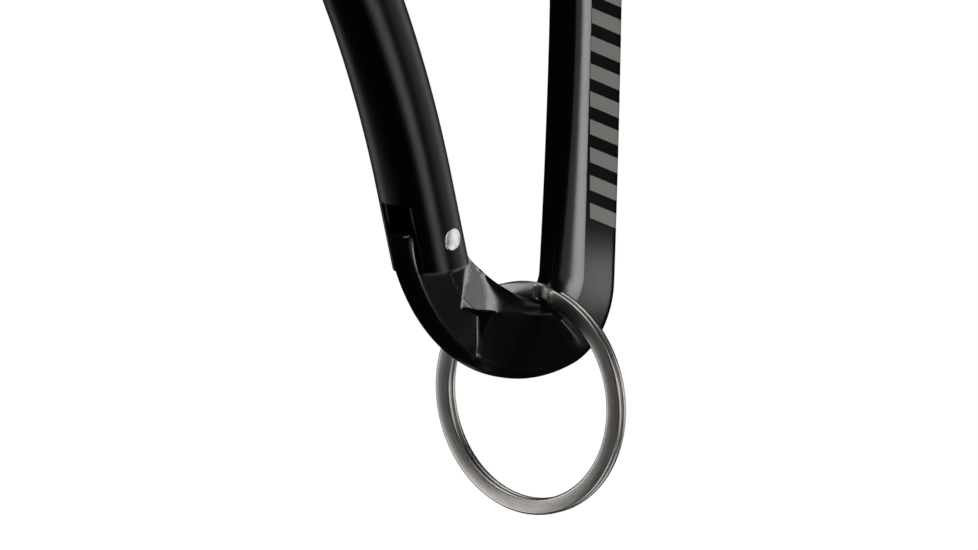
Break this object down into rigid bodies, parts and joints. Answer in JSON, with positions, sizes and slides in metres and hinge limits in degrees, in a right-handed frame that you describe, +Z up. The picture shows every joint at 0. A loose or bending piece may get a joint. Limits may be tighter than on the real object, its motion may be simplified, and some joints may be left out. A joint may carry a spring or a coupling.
{
  "type": "carabiner keyring",
  "caption": "Small offset-D carabiner with a sprung bent snap gate, carrying a flat-wire split ring for keys on its bottom bow.",
  "frame": {"origin": "hang point: the lowest line of the top bow's inside, on the load line above the split ring", "axes": "+Z up along the spine, +X from the gate towards the spine, +Y back through the flat of the frame"},
  "size_m": [0.0528, 0.025, 0.0911],
  "materials": {
    "frame": "satin black anodised",
    "gate": "satin black anodised",
    "rivet": "bright peened head",
    "spring": "bright drawn wire",
    "ring": "nickel plated"
  },
  "bodies": {
    "frame": {"body": "frame"},
    "gate": {"gate": "gate", "hinge_rivet": "rivet", "latch_pin": "rivet", "return_spring": "spring"},
    "plunger": {"plunger": "spring"},
    "ring": {"split_ring": "ring"}
  },
  "joints": [
    {"name": "gate_hinge", "type": "hinge", "parent": "frame", "child": "gate", "pos_m": [-0.0165, 0, -0.05], "axis": [0, 1, 0], "range_deg": [0, 30], "stiffness_Nm_per_rad": 0.1, "springref_deg": -22.92},
    {"name": "plunger_slide", "type": "slide", "parent": "gate", "child": "plunger", "axis": [-0.279, 0, 0.9603], "range_m": [0, 0.0013], "deforming": ["return_spring"]},
    {"name": "ring_swing", "type": "hinge", "parent": "frame", "child": "ring", "pos_m": [0, 0, -0.0632], "axis": [1, 0, 0], "continuous": true}
  ],
  "couplings": [
    {"joint": "plunger_slide", "follows": "gate_hinge", "m_per_rad": 0.00243}
  ]
}
